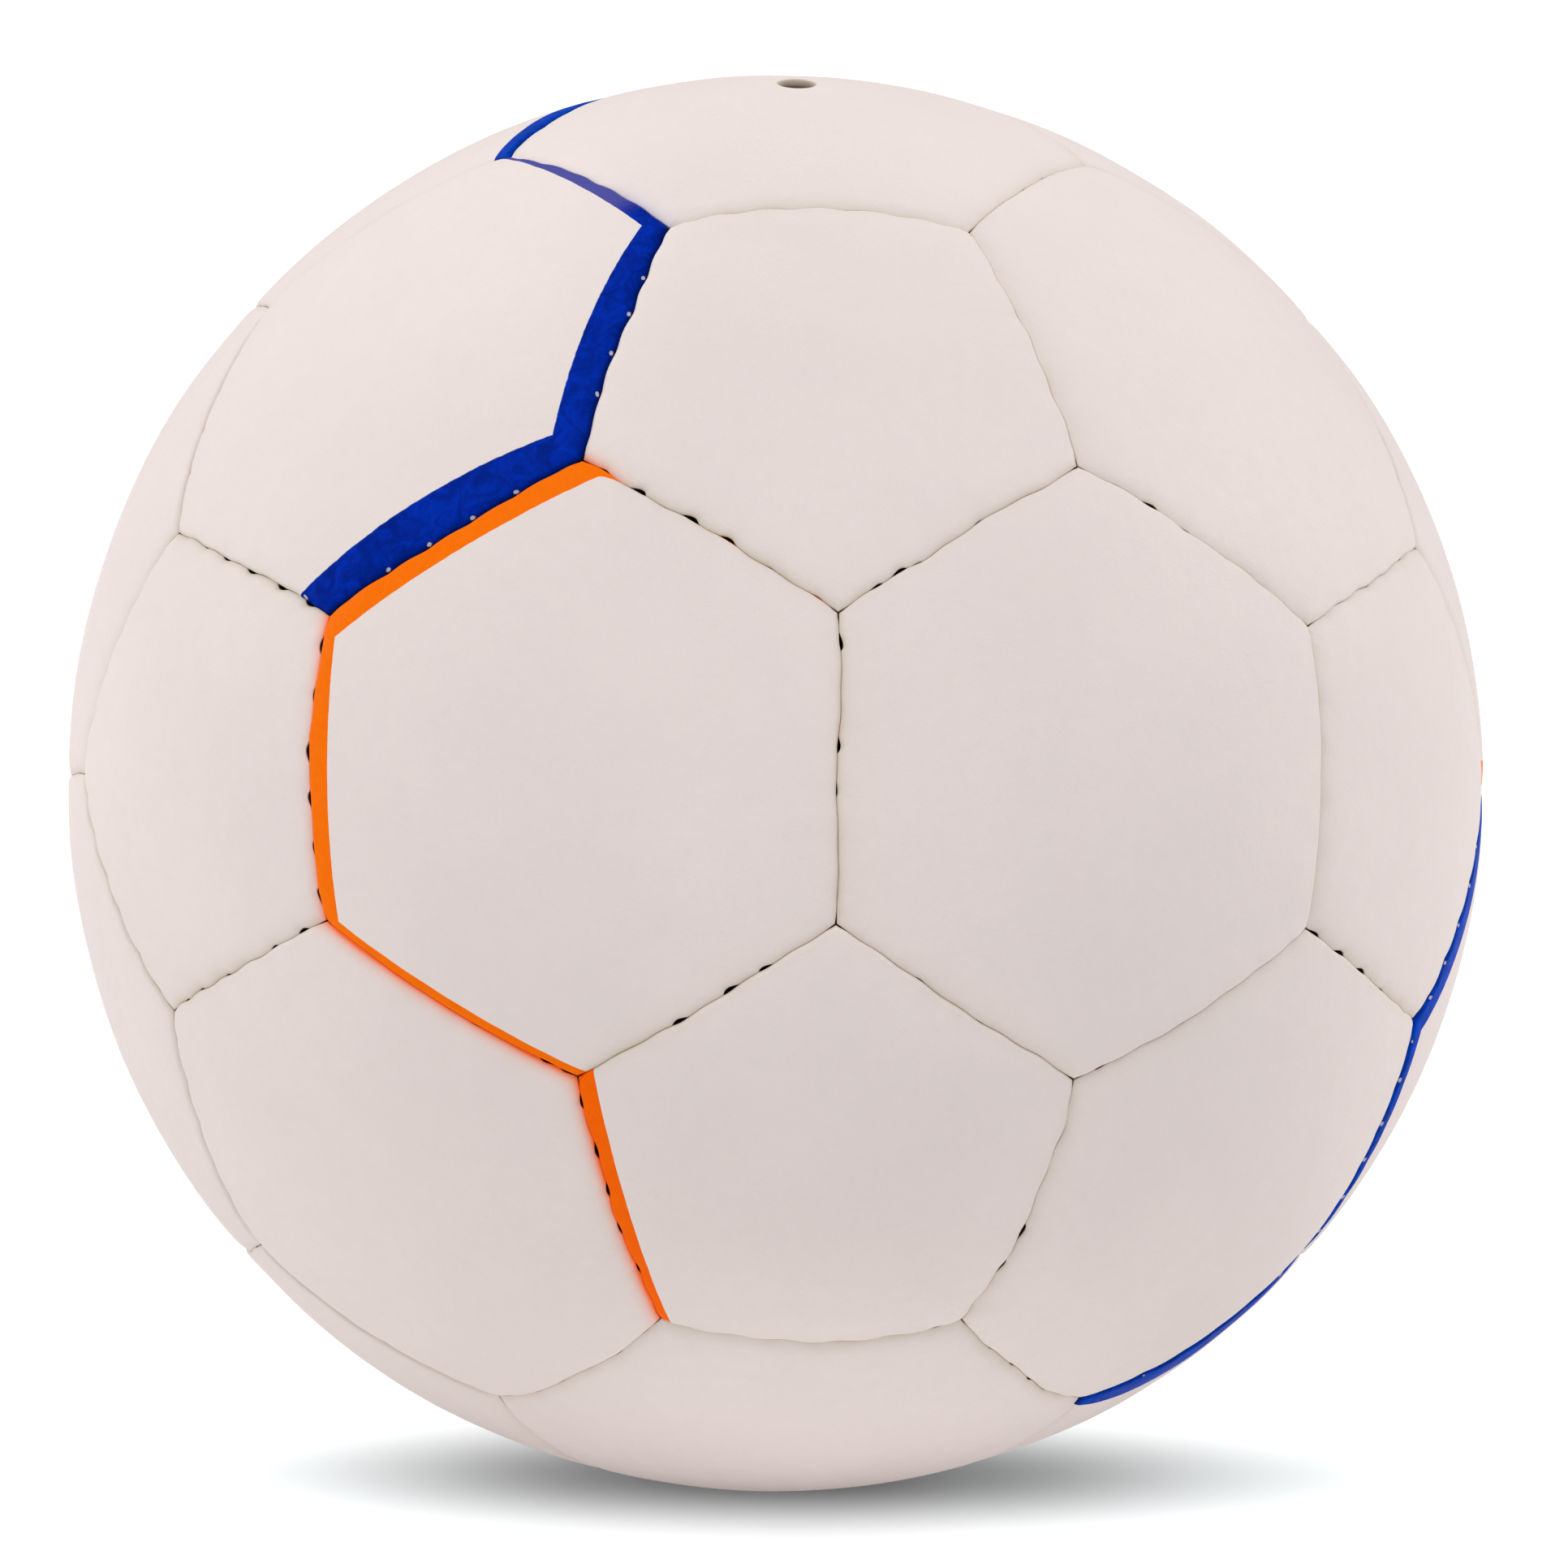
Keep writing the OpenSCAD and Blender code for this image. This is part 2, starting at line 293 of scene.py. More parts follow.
# Panels by their place: the direction of each middle before the ball leans
A, B = 1 / GOLDEN, GOLDEN
PENTAGONS = [(x, 0, z) for x in (1, -1) for z in (B, -B)]
PENTAGONS += [(0, y, z) for y in (B, -B) for z in (1, -1)]
PENTAGONS += [(x, y, 0) for x in (B, -B) for y in (1, -1)]
HEXAGONS = [(x, y, z) for x in (1, -1) for y in (1, -1) for z in (1, -1)]
HEXAGONS += [(0, y, z) for y in (A, -A) for z in (B, -B)]
HEXAGONS += [(x, y, 0) for x in (A, -A) for y in (B, -B)]
HEXAGONS += [(x, 0, z) for x in (B, -B) for z in (A, -A)]
PLACES = PENTAGONS + HEXAGONS

VALVE, BOTTOM = (0, -A, B), (0, -A, -B)
FRONT_TOP, FRONT_BOTTOM = (0, -B, 1), (0, -B, -1)
FRONT_LEFT, FRONT_RIGHT = (-A, -B, 0), (A, -B, 0)
UPPER_LEFT, UPPER_RIGHT = (-1, -1, 1), (1, -1, 1)
LOWER_LEFT, LOWER_RIGHT = (-1, -1, -1), (1, -1, -1)
LEFT, RIGHT = (-B, -1, 0), (B, -1, 0)
TOP_LEFT, BOTTOM_RIGHT = (-1, 0, B), (1, 0, -B)
BACK_TOP_RIGHT, BACK_RIGHT = (1, 0, B), (B, 1, 0)
FAR_RIGHT_UP, FAR_RIGHT_DOWN = (B, 0, A), (B, 0, -A)
BACK_UPPER_RIGHT = (1, 1, 1)

# Printed borders: on each panel, the panels beyond its printed seams, and for each the width of the
# border at the middle of the seam, the panel that it widens towards and by how much, and how much
# narrower it is at both ends. Where the width at the middle is below 0, the border only starts part
# way along the seam. The second half of each table is the first, turned half round.
BLUE_BORDERS = {
    UPPER_LEFT: {
        FRONT_LEFT: (5.9 * MM, LEFT, 0.35 * MM, 1.1 * MM),
        FRONT_TOP: (4.7 * MM, FRONT_LEFT, 0.55 * MM, 1.0 * MM),
        VALVE: (1.9 * MM, FRONT_TOP, 0.8 * MM, 0.1 * MM),
    },
    TOP_LEFT: {VALVE: (3.4 * MM, UPPER_LEFT, -1.4 * MM, 0.0)},
    FAR_RIGHT_DOWN: {
        FAR_RIGHT_UP: (5.9 * MM, BACK_RIGHT, 0.35 * MM, 1.1 * MM),
        RIGHT: (4.7 * MM, FAR_RIGHT_UP, 0.55 * MM, 1.0 * MM),
        LOWER_RIGHT: (1.9 * MM, RIGHT, 0.8 * MM, 0.1 * MM),
    },
    BOTTOM_RIGHT: {LOWER_RIGHT: (8.0 * MM, FAR_RIGHT_DOWN, -0.4 * MM, 6.6 * MM)},
}
ORANGE_BORDERS = {
    FRONT_LEFT: {
        UPPER_LEFT: (3.5 * MM, LEFT, 0.0, 0.0),
        LEFT: (2.15 * MM, LOWER_LEFT, 0.25 * MM, 0.0),
        LOWER_LEFT: (1.35 * MM, LEFT, 0.0, 0.0),
        FRONT_TOP: (-1.5 * MM, UPPER_LEFT, 2.9 * MM, 0.0),
    },
    FRONT_BOTTOM: {LOWER_LEFT: (1.85 * MM, FRONT_LEFT, 0.55 * MM, 0.0)},
    FAR_RIGHT_UP: {
        FAR_RIGHT_DOWN: (3.5 * MM, BACK_RIGHT, 0.0, 0.0),
        BACK_RIGHT: (2.15 * MM, BACK_UPPER_RIGHT, 0.25 * MM, 0.0),
        BACK_UPPER_RIGHT: (1.35 * MM, BACK_RIGHT, 0.0, 0.0),
        RIGHT: (-1.5 * MM, FAR_RIGHT_DOWN, 2.9 * MM, 0.0),
    },
    BACK_TOP_RIGHT: {BACK_UPPER_RIGHT: (1.85 * MM, FAR_RIGHT_UP, 0.55 * MM, 0.0)},
}
MIN_BORDER = 0.01 * MM
ROUNDED_CORNER = 0.6  # how round the white is at a corner where a border starts part way, as a share

# How far the middle of a seam bows from the first panel towards the second
SEAM_BOWS = {
    (FRONT_LEFT, LEFT): 1.2 * MM,
    (UPPER_LEFT, FRONT_LEFT): 0.6 * MM,
    (FRONT_TOP, VALVE): 1.2 * MM,
    (FRONT_BOTTOM, BOTTOM): 1.4 * MM,
    (FRONT_BOTTOM, LOWER_RIGHT): 0.8 * MM,
    (UPPER_RIGHT, FRONT_RIGHT): 0.4 * MM,
    (UPPER_RIGHT, VALVE): 0.4 * MM,
    (LOWER_LEFT, BOTTOM): 0.7 * MM,
    (LOWER_RIGHT, BOTTOM): 0.4 * MM,
    (RIGHT, UPPER_RIGHT): 0.45 * MM,
    (RIGHT, LOWER_RIGHT): 0.5 * MM,
    (LEFT, UPPER_LEFT): 0.45 * MM,
    (LOWER_LEFT, LEFT): 0.3 * MM,
    (FRONT_TOP, UPPER_LEFT): -0.3 * MM,
    (FRONT_TOP, UPPER_RIGHT): -0.3 * MM,
    (LOWER_RIGHT, BOTTOM_RIGHT): 2.0 * MM,
}

# Where slits stand open at the stitches of the seams in the photograph, in millimetres along the seam,
# and how wide each is, from 0 to 1
SLITS = {
    (FRONT_TOP, FRONT_LEFT): ((-15.7, 0.3), (-10.2, 1.0), (-2.6, 1.0), (2.8, 0.8), (9.0, 0.15), (16.0, 0.2)),
    (FRONT_TOP, FRONT_RIGHT): ((-13.4, 0.5), (-10.0, 0.75), (-7.4, 0.25), (2.3, 0.2)),
    (FRONT_RIGHT, FRONT_LEFT): ((-15.5, 0.9), (-2.8, 0.8), (2.6, 0.35)),
    (FRONT_BOTTOM, FRONT_LEFT): ((-9.1, 0.75), (-4.0, 1.0), (3.5, 1.0)),
    (FRONT_BOTTOM, FRONT_RIGHT): ((6.5, 0.2), (-3.2, 0.1)),
    (FRONT_BOTTOM, LOWER_RIGHT): ((-9.0, 0.85), (-3.1, 1.0)),
    (FRONT_BOTTOM, BOTTOM): ((15.7, 0.6), (3.2, 0.1)),
    (FRONT_BOTTOM, LOWER_LEFT): ((-16.0, 0.7), (-9.0, 0.9), (-3.2, 0.8), (2.8, 0.6), (9.5, 0.6)),
    (FRONT_TOP, VALVE): ((3.2, 0.1), (-9.5, 0.1)),
    (FRONT_TOP, UPPER_RIGHT): ((3.2, 0.1), (-9.5, 0.1)),
    (FRONT_TOP, UPPER_LEFT): ((-9.5, 0.3), (-3.2, 0.3), (3.2, 0.3), (9.5, 0.3)),
    (UPPER_LEFT, FRONT_LEFT): ((-9.5, 0.3), (-3.2, 0.3), (3.2, 0.3), (9.5, 0.3)),
    (UPPER_RIGHT, FRONT_RIGHT): ((-8.7, 0.9), (-3.1, 0.35)),
    (UPPER_RIGHT, VALVE): ((-9.5, 0.15), (-3.2, 0.2), (3.2, 0.15)),
    (UPPER_LEFT, VALVE): ((3.2, 0.1), (-9.5, 0.1)),
    (TOP_LEFT, VALVE): ((3.2, 0.1), (-9.5, 0.1)),
    (LOWER_RIGHT, FRONT_RIGHT): ((15.4, 0.4), (3.2, 0.1)),
    (RIGHT, FRONT_RIGHT): ((3.2, 0.1), (-9.5, 0.1)),
    (RIGHT, UPPER_RIGHT): ((3.2, 0.15), (-9.5, 0.15)),
    (RIGHT, LOWER_RIGHT): ((-17.3, 0.8), (-10.9, 1.0), (-4.5, 1.0), (2.6, 0.3)),
    (LEFT, UPPER_LEFT): ((-15.3, 0.8), (-9.5, 0.95), (-2.8, 0.7), (3.4, 0.5), (8.9, 0.2)),
    (LEFT, LOWER_LEFT): ((-13.4, 0.3), (-8.8, 0.3), (-1.8, 0.3), (9.0, 0.4), (15.0, 0.8)),
    (LEFT, FRONT_LEFT): ((-16.4, 1.0), (-10.3, 0.5), (-4.1, 1.0), (1.9, 1.0), (9.3, 0.5), (15.4, 1.0)),
    (LOWER_LEFT, FRONT_LEFT): ((-17.6, 0.4), (-14.9, 0.6), (-5.0, 0.2)),
    (LOWER_RIGHT, BOTTOM): ((-11.0, 0.2), (-4.7, 0.35), (1.5, 0.6), (6.8, 0.2)),
    (LOWER_LEFT, BOTTOM): ((-15.8, 0.12), (-9.5, 0.2), (-3.2, 0.12), (3.2, 0.12), (9.5, 0.2), (15.8, 0.12)),
}

# The panel that lies proud along a seam, then the one that dips: how softly it dips, and how strong the
# tan soil and painted shade at the seam are, from 0 to 1
PROUD = {
    (FRONT_LEFT, FRONT_TOP): (0.6, 0.9),
    (FRONT_RIGHT, FRONT_TOP): (0.4, 0.7),
    (FRONT_TOP, VALVE): (1.0, 0.6),
    (FRONT_TOP, UPPER_RIGHT): (1.0, 0.5),
    (FRONT_TOP, UPPER_LEFT): (0.5, 0.0),
    (FRONT_LEFT, UPPER_LEFT): (0.8, 0.0),
    (FRONT_LEFT, FRONT_RIGHT): (0.2, 1.0),
    (FRONT_BOTTOM, FRONT_LEFT): (0.2, 0.9),
    (FRONT_BOTTOM, FRONT_RIGHT): (0.2, 0.7),
    (FRONT_BOTTOM, LOWER_RIGHT): (1.0, 0.6),
    (FRONT_BOTTOM, BOTTOM): (0.9, 0.6),
    (FRONT_BOTTOM, LOWER_LEFT): (0.8, 0.3),
    (FRONT_RIGHT, UPPER_RIGHT): (1.0, 0.45),
    (FRONT_RIGHT, RIGHT): (1.0, 0.4),
    (FRONT_RIGHT, LOWER_RIGHT): (1.0, 0.4),
    (FRONT_LEFT, LEFT): (0.6, 0.0),
    (FRONT_LEFT, LOWER_LEFT): (0.6, 0.0),
    (UPPER_RIGHT, VALVE): (0.9, 0.5),
    (UPPER_RIGHT, RIGHT): (0.5, 0.4),
    (UPPER_LEFT, VALVE): (0.8, 0.0),
    (LOWER_RIGHT, RIGHT): (1.0, 0.6),
    (UPPER_LEFT, LEFT): (0.3, 0.9),
    (LOWER_LEFT, LEFT): (0.8, 0.8),
    (LOWER_LEFT, BOTTOM): (0.4, 0.5),
    (LOWER_RIGHT, BOTTOM): (0.5, 0.8),
}


def make_seam(first, second, rng):
    """What both panels of a seam share; first is the pentagon where there is one. The tables say how the
    seams in the photograph are, and random draws how the others are."""
    mixed = first in PENTAGONS
    side = 1 if mixed else rng.choice([-1, 1])
    bow = SEAM_BOWS.get((first, second), -SEAM_BOWS.get((second, first), 0.0))
    nominal = (2 * (np.arange(STITCHES) + 0.5) / STITCHES - 1) * HALF_LENGTH
    stitches = nominal + rng.uniform(-0.5, 0.5, STITCHES) * MM
    gapes = rng.uniform(0.1, 0.9) * rng.uniform(0.2, 1.0, STITCHES)
    slits = SLITS.get((first, second), list(zip(stitches / MM, gapes)))
    places = np.array([place for place, _ in slits]) * MM
    gapes = np.array([gape for _, gape in slits])
    guess = (rng.uniform(0.2, 1.0), rng.uniform(0.3, 0.8))
    first_dips = (second, first) in PROUD or bool(rng.integers(2))
    if (first, second) in PROUD:
        first_dips = False
    softness, soil_and_shade = PROUD.get((first, second), PROUD.get((second, first), guess))
    return SimpleNamespace(
        bow=bow,
        stitches=stitches,
        places=places,
        gapes=gapes,
        openings=OPENING * gapes,
        lengths=OPENING_HALF_LENGTH * (0.55 + 0.5 * gapes) * rng.uniform(0.9, 1.1, len(gapes)),
        dimples=DIMPLE_DROP * rng.uniform(0.5, 1.4, STITCHES),
        bulges=BULGE * side * (1.0 if mixed else EVEN_BULGE) * rng.uniform(0.5, 1.2, STITCHES + 1),
        waves=WOBBLE * rng.uniform(-1, 1, 2),
        phases=rng.uniform(0, 2 * math.pi, 2),
        first_dips=first_dips,
        softness=softness,
        soil_and_shade=soil_and_shade,
    )


class Panel:
    """One panel: its middle, its sides counterclockwise, and the seams that it shares"""

    def __init__(self, place):
        self.place = place
        self.middle = upright(place)
        self.sides = 5 if place in PENTAGONS else 6
        # From the middle of the panel to the middle of a side, seen from the ball's centre
        self.angle = math.asin(1 / (3 * GOLDEN * math.tan(math.pi / self.sides)))

    def towards(self, other):
        return unit(other.middle - (other.middle @ self.middle) * self.middle)

    def join(self, panels, seams):
        near = [p for p in panels if p is not self and p.middle @ self.middle > NEIGHBOUR_COS]
        start = self.towards(near[0])
        across = np.cross(self.middle, start)
        near.sort(key=lambda p: math.atan2(p.middle @ across, p.middle @ start) % (2 * math.pi))
        self.near = near
        self.edges = []
        for other in near:
            outward = self.towards(other)
            mid = math.cos(self.angle) * self.middle + math.sin(self.angle) * outward
            normal = math.cos(self.angle) * outward - math.sin(self.angle) * self.middle
            order = (PLACES.index(self.place), PLACES.index(other.place))
            seam = seams[tuple(sorted(order))]
            edge = SimpleNamespace(mid=mid, normal=normal, along=np.cross(mid, normal), seam=seam)
            edge.first = order[0] < order[1]
            edge.dips = seam.first_dips == edge.first
            edge.width = DIPPING_WIDTH + SOFT_WIDTH * seam.softness if edge.dips else PROUD_WIDTH
            self.edges.append(edge)

    def edge_to(self, place):
        return next(e for e, p in zip(self.edges, self.near) if p.place == place)


def build_panels():
    rng = np.random.default_rng(SEED)
    panels = [Panel(place) for place in PLACES]
    seams = {}
    for i, first in enumerate(panels):
        for j in range(i + 1, len(panels)):
            if first.middle @ panels[j].middle > NEIGHBOUR_COS:
                seams[(i, j)] = make_seam(first.place, panels[j].place, rng)
    for panel in panels:
        panel.join(panels, seams)
    return panels


def half_span(panel, angle):
    """Half the angle that a side spans at an angle in from its seam"""
    k = math.tan(math.pi / panel.sides)
    lean = k * math.sin(panel.angle)
    inward = k * np.tan(angle) * math.cos(panel.angle) / math.sqrt(1 + lean**2)
    return math.atan(lean) - np.arcsin(inward)


def seam_line(seam, x):
    """How far the line between two panels strays towards the second one"""
    pitch = 2 * HALF_LENGTH / STITCHES
    place = (x + HALF_LENGTH) / pitch
    between = np.clip(np.floor(place + 0.5).astype(int), 0, STITCHES)
    stray = np.cos(math.pi * (place - between)) ** 2 * seam.bulges[between]
    for turns, wave, phase in zip((1, 2), seam.waves, seam.phases):
        stray += wave * np.sin(turns * x / HALF_LENGTH * math.pi + phase)
    bow = seam.bow * (1 - (x / HALF_LENGTH) ** 2)
    return stray * (1 - bell(HALF_LENGTH - np.abs(x), TRUE_END)) + bow


def rolled_edge(panel, index, shares, level):
    """Inset and drop along a side, for a level from 0 at the seam to 1 at the top of its roll, and on to
    2 where the flat of the panel starts. The rolls of neighbouring sides meet at the corner."""
    edges = panel.edges
    here = edges[index].width
    beside = np.where(shares < 0, edges[index - 1].width, edges[(index + 1) % panel.sides].width)
    width = here + (beside - here) / 2 * np.abs(shares) ** CORNER_POWER
    if level > 1:
        return SEAM_HALF_GAP + width + (FLAT_INSET - width) * (level - 1), np.zeros(len(shares))
    turn = ROLL_START + (math.pi / 2 - ROLL_START) * level
    inset = width * (math.cos(ROLL_START) - math.cos(turn)) / math.cos(ROLL_START)
    drop = EDGE_DROP * (1 - math.sin(turn)) / (1 - math.sin(ROLL_START))
    return SEAM_HALF_GAP + inset, np.full(len(shares), drop)


def side_points(edge, panel, shares, inset, drop):
    """Points along one side, set in from its seam, with what the stitches do to it, and for each
    point its values"""
    seam = edge.seam
    x = shares * HALF_LENGTH * (1 if edge.first else -1)
    from_slit = x[:, None] - seam.places[None, :]
    from_stitch = x[:, None] - seam.stitches[None, :]
    to_corner = (1 - np.abs(shares)) * HALF_LENGTH

    share = from_slit / seam.lengths
    lens = np.clip(1 - share**2, 0, None) * (1 + OPENING_LEAN * share)
    opening = (seam.openings * lens).max(axis=1) * (1.0 if edge.dips else PROUD_OPENING)
    near_seam = bell(inset, OPENING_REACH)
    line = seam_line(seam, x) * (-1 if edge.first else 1)
    set_in = inset + line * bell(inset, LINE_REACH)
    set_in = set_in + (opening + PIT_INSET * bell(to_corner, PIT_HALF_LENGTH)) * near_seam

    dimple = (seam.dimples * bell(from_stitch, SINK_HALF_LENGTH)).max(axis=1)
    fall = (dimple + PIT_DROP * bell(to_corner, SINK_HALF_LENGTH)) * bell(inset, SINK_REACH)
    follow = np.clip((FOLLOW_DEPTH - drop) / (FOLLOW_DEPTH - EDGE_DROP), 0, 1)
    radii = BALL_R - drop - fall * follow
    theta = np.arcsin(set_in / radii)
    beta = shares * half_span(panel, theta)
    direction = np.cos(beta)[:, None] * edge.mid + np.sin(beta)[:, None] * edge.along
    direction = np.cos(theta)[:, None] * direction - np.sin(theta)[:, None] * edge.normal

    # How dark an open slit is painted: painted shade
    dark = np.clip(SLIT_GAIN * seam.gapes, 0, 1) * np.exp(-(share**4))
    chip = np.clip(CHIP_GAIN * seam.gapes, 0, 1) * bell(from_slit - CHIP_OFFSET, CHIP_HALF_LENGTH)
    # Tan soil and painted shade beside the seam, wider on the dipping side
    soil_and_shade = SOIL_AND_SHADE * np.exp(-inset / SOIL_AND_SHADE_REACH)
    if edge.dips:
        soil_and_shade += SOFT_SHADE_AND_SOIL * (0.4 + 0.6 * seam.softness) * np.exp(-inset / SOFT_SHADE_AND_SOIL_REACH)
    values = SimpleNamespace(
        slit=dark.max(axis=1) * near_seam,
        chip=chip.max(axis=1) * bell(inset - CHIP_INSET, CHIP_HALF_WIDTH),
        soil_and_shade=seam.soil_and_shade * soil_and_shade,
        shade=(DIPPING_SHADE if edge.dips else PROUD_SHADE) * np.exp(-inset / SHADE_REACH),
        deep_mm=np.clip(drop - EDGE_DROP, 0, None) / MM,
        follow=follow,
    )
    return radii[:, None] * direction, values


def gathered_shares(edge, count, gather):
    """Shares from -1 to 1 along a side, closer together at the slits"""
    fine = np.linspace(-1, 1, 801)
    sign = 1 if edge.first else -1
    near = (fine * HALF_LENGTH * sign)[:, None] - edge.seam.places[None, :]
    density = 1 + gather * bell(near, GATHER_REACH).sum(axis=1)
    total = np.concatenate([[0], np.cumsum((density[1:] + density[:-1]) / 2)])
    return np.interp(np.arange(count) / count * total[-1], total, fine)


def join_sides(parts, count):
    points = np.concatenate([part for part, _ in parts])
    values = {name: np.concatenate([getattr(v, name) for _, v in parts]) for name in VALUES}
    return SimpleNamespace(points=points, values=values, count=count)


def rolled_loop(panel, level, gather):
    """A closed loop of points round a panel, at a level of its rolled edges"""
    parts = []
    for index, edge in enumerate(panel.edges):
        shares = gathered_shares(edge, DENSE, gather)
        inset, drop = rolled_edge(panel, index, shares, level)
        parts.append(side_points(edge, panel, shares, inset, drop))
    return join_sides(parts, DENSE)


def wall_loop(panel, inset, drop, count, gather):
    """A closed loop of points round the turned edge or the inside of a panel"""
    parts = []
    for edge in panel.edges:
        shares = gathered_shares(edge, count, gather)
        parts.append(side_points(edge, panel, shares, np.full(count, inset), np.full(count, drop)))
    return join_sides(parts, count)


def plain_loop(points, count, follow):
    """A loop away from the seams"""
    values = {name: np.zeros(len(points)) for name in VALUES}
    values["follow"] += follow
    return SimpleNamespace(points=points, values=values, count=count)


def drawn_loop(outer, target, share, count):
    """A loop on the ball part way from a loop near the seam to a target, one point or a ring"""
    start = unit_rows(outer.points[:: outer.count // count])
    end = target if np.ndim(target) == 1 else target[:: len(target) // len(start)]
    return plain_loop(unit_rows((1 - share) * start + share * end) * BALL_R, count, 1.0)


def ring_round_valve(outer, radius, height):
    """A circle round the valve, each point in line with one of the outer loop"""
    angle = np.arctan2(outer.points[:, 1], outer.points[:, 0])
    return np.stack([radius * np.cos(angle), radius * np.sin(angle), np.full(len(angle), height)], axis=1)


def hole_loop(outer, radius, height):
    return plain_loop(ring_round_valve(outer, radius, height), outer.count, 0.0)


def hole_loops(last):
    """The loops from the band inside the valve panel's seams to its hole, and down through the hole"""
    top = math.sqrt(BALL_R**2 - RIM_R**2)
    ring = unit_rows(ring_round_valve(last, RING_R, top))
    loops = [drawn_loop(last, ring, share, count) for share, count in VALVE_PLAN]
    thin = loops[-1]
    for step in range(LIP_STEPS + 1):
        turn = math.pi / 2 * step / LIP_STEPS
        radius = HOLE_R + HOLE_LIP * (1 - math.sin(turn))
        loops.append(hole_loop(thin, radius, top - HOLE_LIP * (1 - math.cos(turn))))
    loops.append(hole_loop(thin, HOLE_R, BALL_R - COVER_T))
    return loops


def panel_loops(panel):
    """The loops of a cover, from the middle of its inside round its turned edge to the middle of its
    outside, or through the hole of the valve panel"""
    inside = [wall_loop(panel, inset, drop, count, 0.0) for inset, drop, count in INSIDE_PLAN]
    for loop in inside:
        loop.values["follow"][:] = 0
    turned = [wall_loop(panel, SEAM_HALF_GAP, drop, count, gather) for drop, count, gather in TURNED_PLAN]
    rolled = [rolled_loop(panel, level, GATHER) for level in ROLL_LEVELS]
    rolled += [rolled_loop(panel, level, gather) for level, gather in BAND_LEVELS]
    last = rolled[-1]
    if panel.place == VALVE:
        ring = hole_loop(inside[1], HOLE_R * 2, BALL_R - COVER_T)
        ring.points = unit_rows(ring.points) * (BALL_R - COVER_T)
        inside[0] = ring
        middle = hole_loops(last)
    else:
        middle = [drawn_loop(last, panel.middle, share, count) for share, count in MIDDLE_PLAN]
    return inside + turned + rolled + middle


def zip_faces(start, lower, upper, sides):
    """Faces between two loops of any counts, side by side"""
    faces = []
    a, b = lower.count, upper.count
    loop_a, loop_b = a * sides, b * sides
    base_b = start + loop_a
    for side in range(sides):
        i = j = 0
        while i < a or j < b:
            here_a = start + (side * a + i) % loop_a
            here_b = base_b + (side * b + j) % loop_b
            next_a = start + (side * a + i + 1) % loop_a
            next_b = base_b + (side * b + j + 1) % loop_b
            if a == b:
                faces.append((here_a, next_a, next_b, here_b))
                i, j = i + 1, j + 1
            elif j == b or (i < a and (i + 1) / a <= (j + 1) / b):
                faces.append((here_a, next_a, here_b))
                i += 1
            else:
                faces.append((here_a, next_b, here_b))
                j += 1
    return faces


def closing_faces(last, last_count, first_count, sides):
    """Joins the bottom of the hole's wall to the inside of the cover"""
    faces = []
    ratio = last_count // first_count
    half = ratio // 2
    for i in range(first_count * sides):
        following = (i + 1) % (first_count * sides)
        fan = [last + (i * ratio + k) % (last_count * sides) for k in range(ratio + 1)]
        faces += [(fan[k], fan[k + 1], i) for k in range(half)]
        faces.append((fan[half], following, i))
        faces += [(fan[k], fan[k + 1], following) for k in range(half, ratio)]
    return faces


def side_distances(panel, points):
    """Distance of each point from each seam of the panel"""
    normals = np.array([edge.normal for edge in panel.edges])
    return -unit_rows(points) @ normals.T * BALL_R


def relief(panel, points):
    """How far a cover sinks at each point: towards its seams, less beside those where it lies proud, and
    with the slow unevenness of hand work"""
    distances = np.clip(side_distances(panel, points), 0, None)
    drop = PUFF_DROP * np.exp(-distances / PUFF_REACH).sum(axis=1)
    for column, edge in zip(distances.T, panel.edges):
        if not edge.dips:
            drop -= PROUD_RISE * np.exp(-column / PROUD_RISE_REACH) * (1 - bell(column, PROUD_RISE_START))
    rng = np.random.default_rng(SEED + PLACES.index(panel.place))
    uneven = np.zeros(len(points))
    for _ in range(WAVES):
        wave = unit(rng.normal(size=3)) * 2 * math.pi / (rng.uniform(12, 34) * MM)
        uneven += np.sin(points @ wave + rng.uniform(0, 2 * math.pi))
    return drop - WAVE_HEIGHT * uneven * (1 - bell(distances.min(axis=1), WAVE_START))


def tilt_lip(points):
    """Tips the outside of the cover round the valve hole"""
    beyond = np.clip(np.hypot(points[:, 0], points[:, 1]) - RIM_R, 0, None)
    near_top = np.clip((np.linalg.norm(points, axis=1) - BALL_R + COVER_T) / COVER_T, 0, 1)
    points[:, 2] += HOLE_TILT * points[:, 1] / RIM_R * bell(beyond, HOLE_TILT_REACH) * near_top


